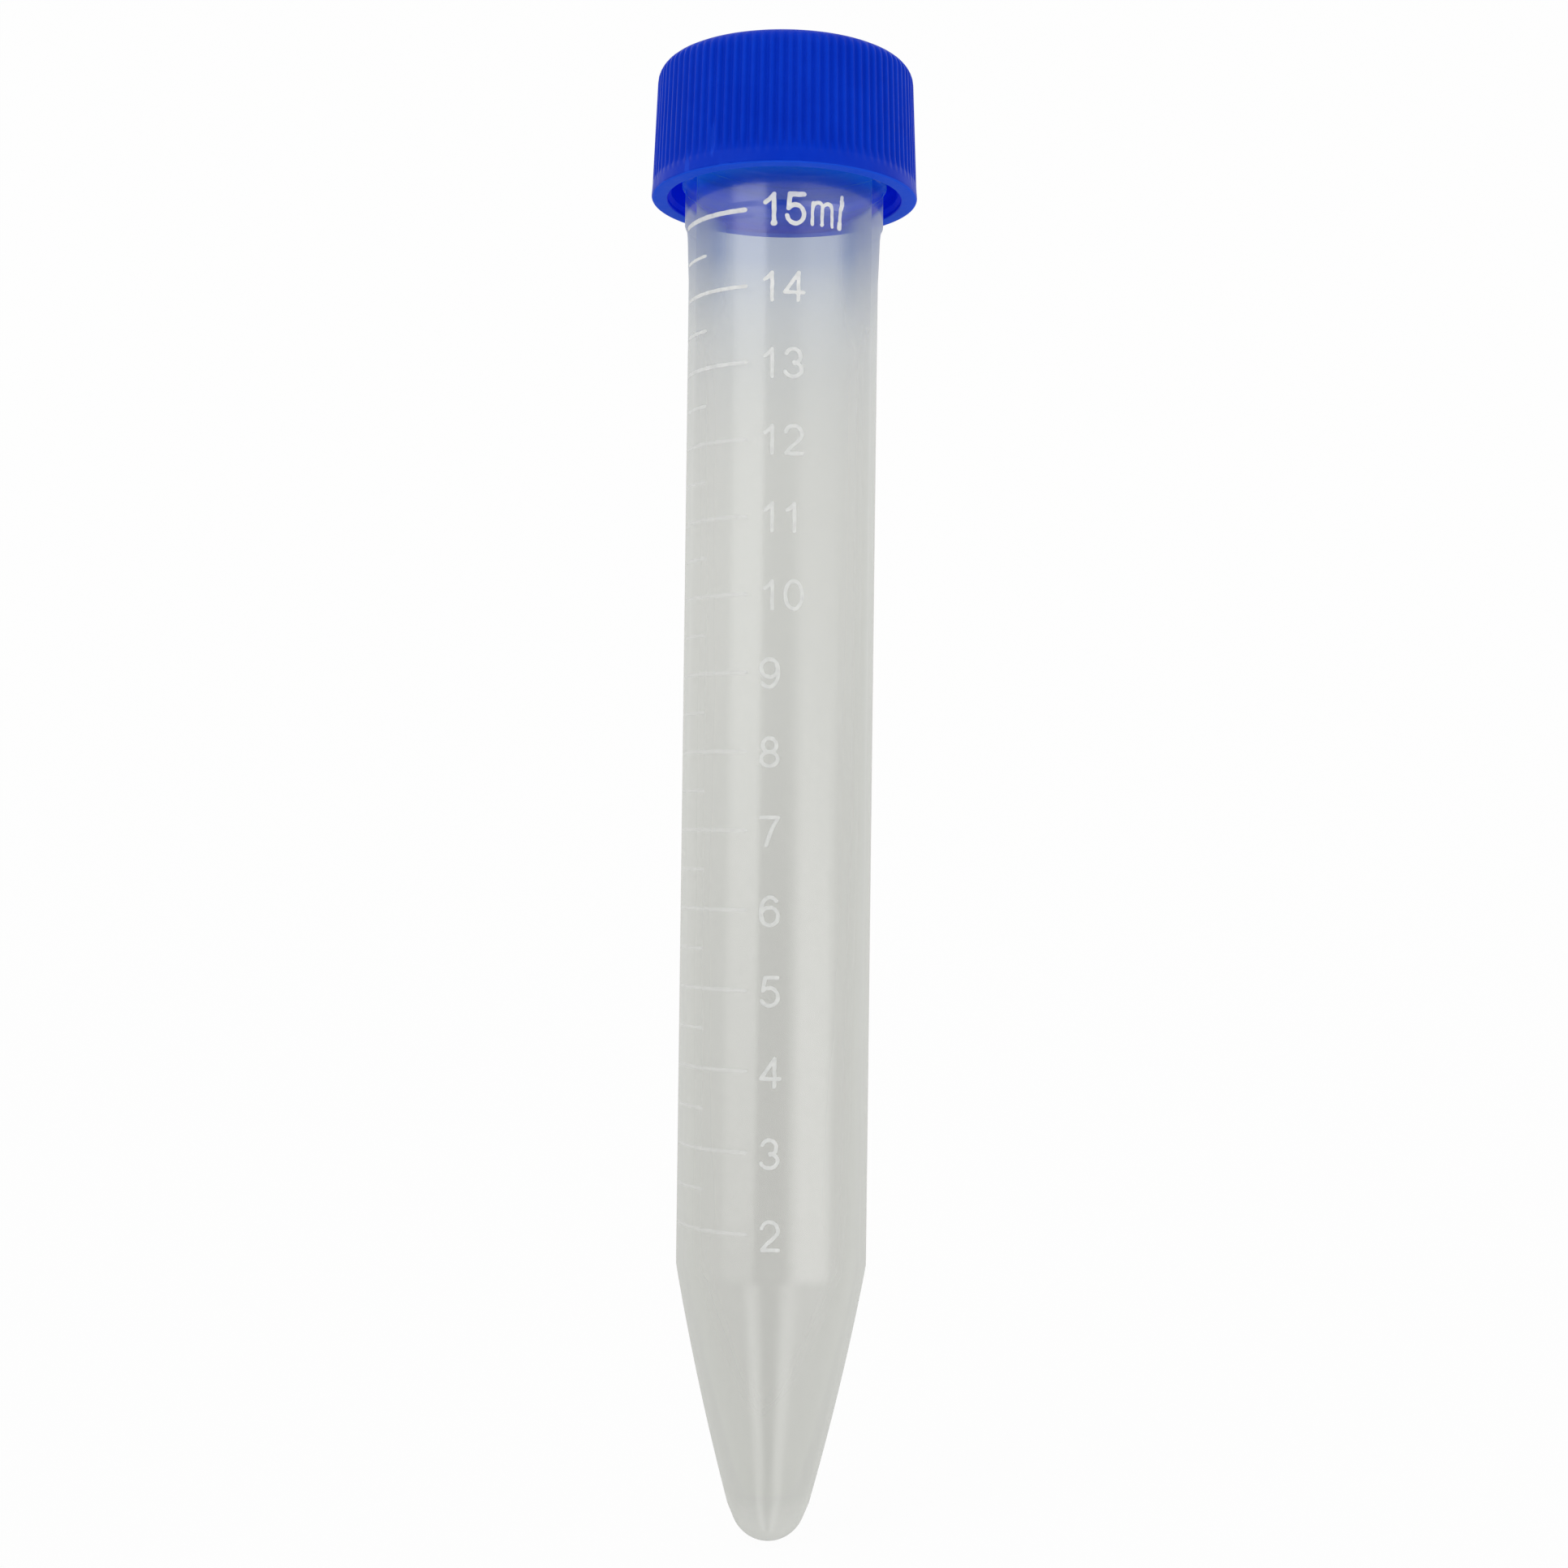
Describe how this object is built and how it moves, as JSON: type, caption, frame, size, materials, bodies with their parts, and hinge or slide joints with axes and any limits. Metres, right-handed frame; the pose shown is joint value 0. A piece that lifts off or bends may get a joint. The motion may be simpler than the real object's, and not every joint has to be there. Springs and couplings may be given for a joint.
{
  "type": "screw-cap conical centrifuge tube",
  "caption": "Translucent conical-bottom tube for liquid samples, with a printed scale and a ribbed blue screw cap that seals its threaded mouth.",
  "frame": {"origin": "outside of the rounded tip, on the tube's axis", "axes": "+Z along the tube's axis from the tip to the cap; -Y is the side that carries the printed scale"},
  "size_m": [0.022, 0.022, 0.121],
  "materials": {
    "natural_polypropylene": "translucent milky, satin",
    "blue_polyethylene": "satin moulded, fine grip ribs",
    "white_liner": "matt soft foam"
  },
  "bodies": {
    "tube_body": {"tube": "natural_polypropylene"},
    "cap_carrier": {"seal_liner": "white_liner"},
    "cap": {"screw_cap": "blue_polyethylene"}
  },
  "joints": [
    {"name": "cap_lift", "type": "slide", "parent": "tube_body", "child": "cap_carrier", "axis": [0, 0, 1], "range_m": [0, 0.0038]},
    {"name": "cap_turn", "type": "hinge", "parent": "cap_carrier", "child": "cap", "pos_m": [0, 0, 0.1155], "axis": [0, 0, 1], "range_deg": [0, 450]}
  ],
  "couplings": [
    {"joint": "cap_lift", "follows": "cap_turn", "m_per_rad": 0.00047746}
  ]
}
